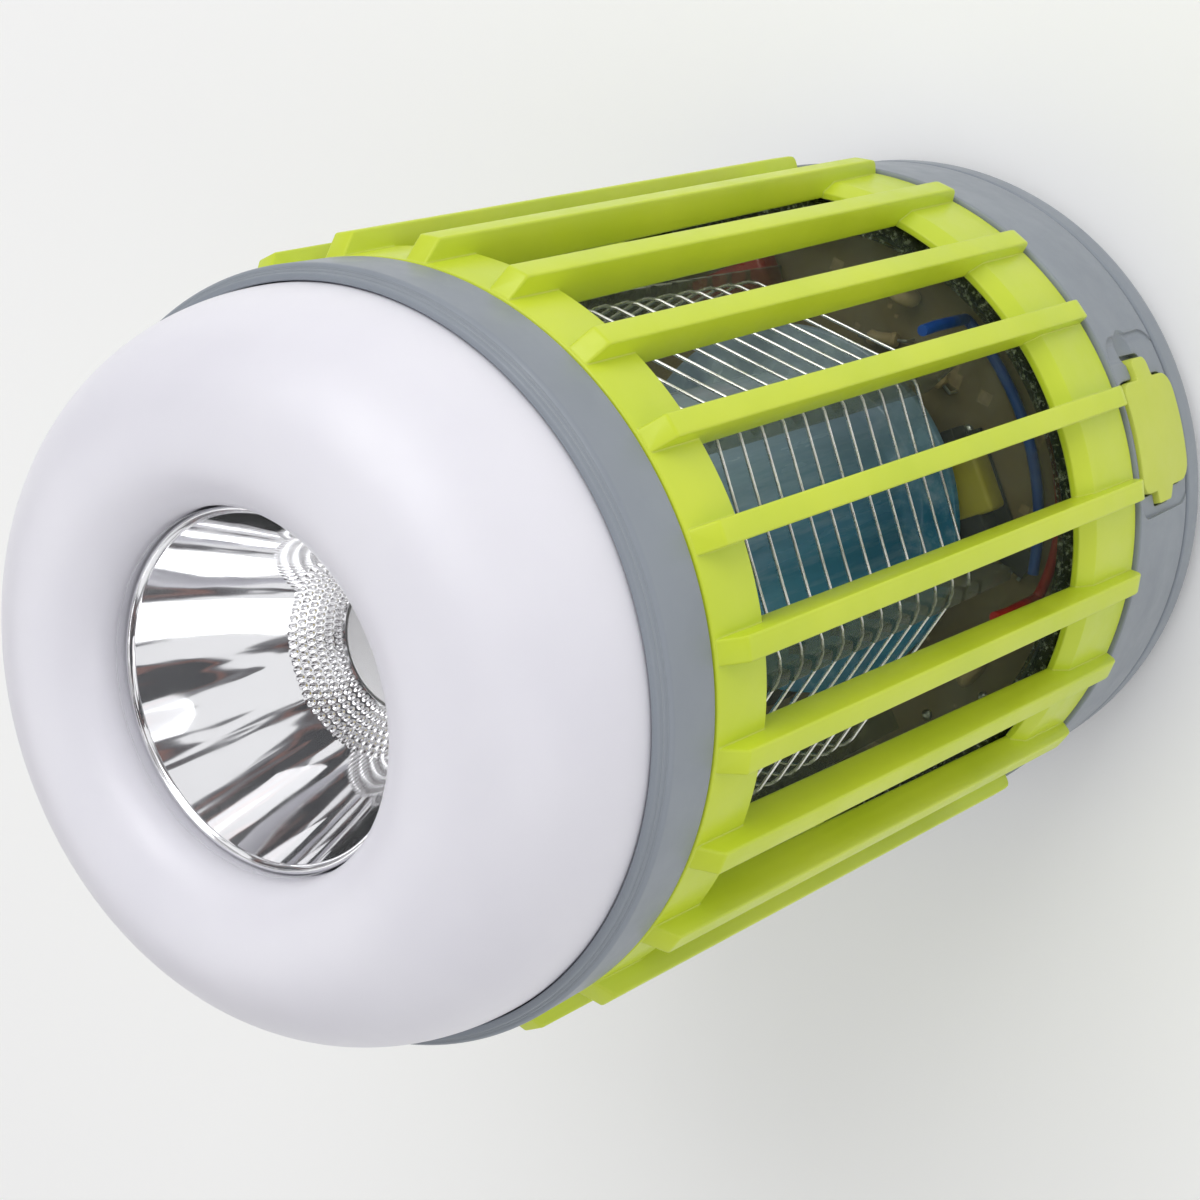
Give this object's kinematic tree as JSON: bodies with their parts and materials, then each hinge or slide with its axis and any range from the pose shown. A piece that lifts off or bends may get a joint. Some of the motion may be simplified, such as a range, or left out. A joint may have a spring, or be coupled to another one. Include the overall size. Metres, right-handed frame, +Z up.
{
  "type": "electric bug zapper",
  "caption": "Rechargeable camping bug zapper: slotted lime cage round a wire grid and UV tube, torch and lantern dome on top, charging base with a folding bail below.",
  "frame": {"origin": "centre of the bounding box at its underside, on the axis of the lamp where the feet stand", "axes": "+Z up along the lamp's axis to the torch dome; -Y is the side with the charging port; +X to the right of it"},
  "size_m": [0.086, 0.086, 0.134],
  "materials": {
    "lime_plastic": "satin moulded ABS, lime green",
    "grey_plastic": "satin moulded ABS, cool grey",
    "frosted_plastic": "frosted translucent diffuser, satin",
    "clear_plastic": "clear moulded plastic, glossy",
    "clear_lens": "clear lens, polished",
    "tube_plastic": "tinted clear tube, glossy",
    "reflector_chrome": "vacuum-metallised bowl with a peened band round its hole",
    "white_plastic": "white moulded plastic",
    "white_board": "white solder mask on an aluminium LED board",
    "led_phosphor": "yellow LED phosphor",
    "uv_led": "violet LED window",
    "brown_board": "phenolic circuit board with parts",
    "blue_board": "blue solder mask",
    "steel_wire": "bright drawn wire",
    "steel_screw": "zinc-plated screws",
    "brass_pin": "gold-plated spring pins",
    "black_rubber": "soft black rubber",
    "lime_rubber": "soft lime-green silicone",
    "black_plastic": "black moulded plastic",
    "yellow_tape": "yellow transformer tape",
    "red_resin": "red dipped resin",
    "red_lead": "red wire insulation",
    "blue_lead": "blue wire insulation",
    "battery_wrap": "blue shrink sleeve over a metal can"
  },
  "bodies": {
    "base": {"floor_window": "clear_plastic", "uv_tube": "tube_plastic", "uv_board": "blue_board", "uv_led_1": "uv_led", "uv_led_2": "uv_led", "uv_led_3": "uv_led", "grid_wire_positive": "steel_wire", "grid_wire_negative": "steel_wire", "grid_post_1": "clear_plastic", "grid_post_2": "clear_plastic", "grid_post_3": "clear_plastic", "grid_post_4": "clear_plastic", "grid_post_5": "clear_plastic", "grid_post_6": "clear_plastic", "grid_post_7": "clear_plastic", "grid_top_plate": "clear_plastic", "contact_pin_1": "brass_pin", "contact_pin_2": "brass_pin", "hv_lead_red": "red_lead", "hv_lead_blue": "blue_lead", "base_housing": "grey_plastic", "base_cover": "grey_plastic", "base_screw_1": "steel_screw", "base_screw_2": "steel_screw", "base_screw_3": "steel_screw", "base_screw_4": "steel_screw", "foot_1": "black_rubber", "foot_2": "black_rubber", "foot_3": "black_rubber", "foot_4": "black_rubber", "battery_cell": "battery_wrap", "battery_holder": "black_plastic", "main_board": "brown_board", "hv_transformer": "yellow_tape", "hv_capacitor": "red_resin", "usb_socket": "steel_screw", "tactile_switch": "black_plastic"},
    "seal_ring": {"cage_seal": "black_rubber"},
    "head": {"diffuser_dome": "frosted_plastic", "torch_lens": "clear_lens", "torch_reflector": "reflector_chrome", "led_gasket": "white_plastic", "torch_led": "led_phosphor", "torch_led_board": "white_board", "lantern_led_board": "white_board", "lantern_led_1": "led_phosphor", "lantern_led_2": "led_phosphor", "lantern_led_3": "led_phosphor", "lantern_led_4": "led_phosphor", "lantern_led_5": "led_phosphor", "head_ring": "grey_plastic", "head_seal": "black_rubber", "head_deck": "grey_plastic", "head_screw_1": "steel_screw", "head_screw_2": "steel_screw", "head_screw_3": "steel_screw", "cage": "lime_plastic"},
    "button": {"power_button": "lime_rubber"},
    "port_cover": {"usb_cover": "lime_rubber"},
    "bail": {"hook_bail": "steel_wire"}
  },
  "joints": [
    {"name": "cage_rise", "type": "slide", "parent": "base", "child": "seal_ring", "axis": [0, 0, 1], "range_m": [0, 0.002]},
    {"name": "cage_twist", "type": "hinge", "parent": "seal_ring", "child": "head", "pos_m": [0, 0, 0], "axis": [0, 0, 1], "range_deg": [0, 40]},
    {"name": "power_button_press", "type": "slide", "parent": "base", "child": "button", "axis": [0, -1, 0], "range_m": [0, 0.001], "stiffness_N_per_m": 400},
    {"name": "usb_cover_swing", "type": "hinge", "parent": "base", "child": "port_cover", "pos_m": [0.00353, -0.04123, 0.0154], "axis": [0, 0, 1], "range_deg": [0, 100]},
    {"name": "hook_fold", "type": "hinge", "parent": "base", "child": "bail", "pos_m": [0, 0, 0.00195], "axis": [-1, 0, 0], "range_deg": [0, 90]}
  ],
  "couplings": [
    {"joint": "cage_rise", "follows": "cage_twist", "m_per_rad": 0.0028648}
  ]
}
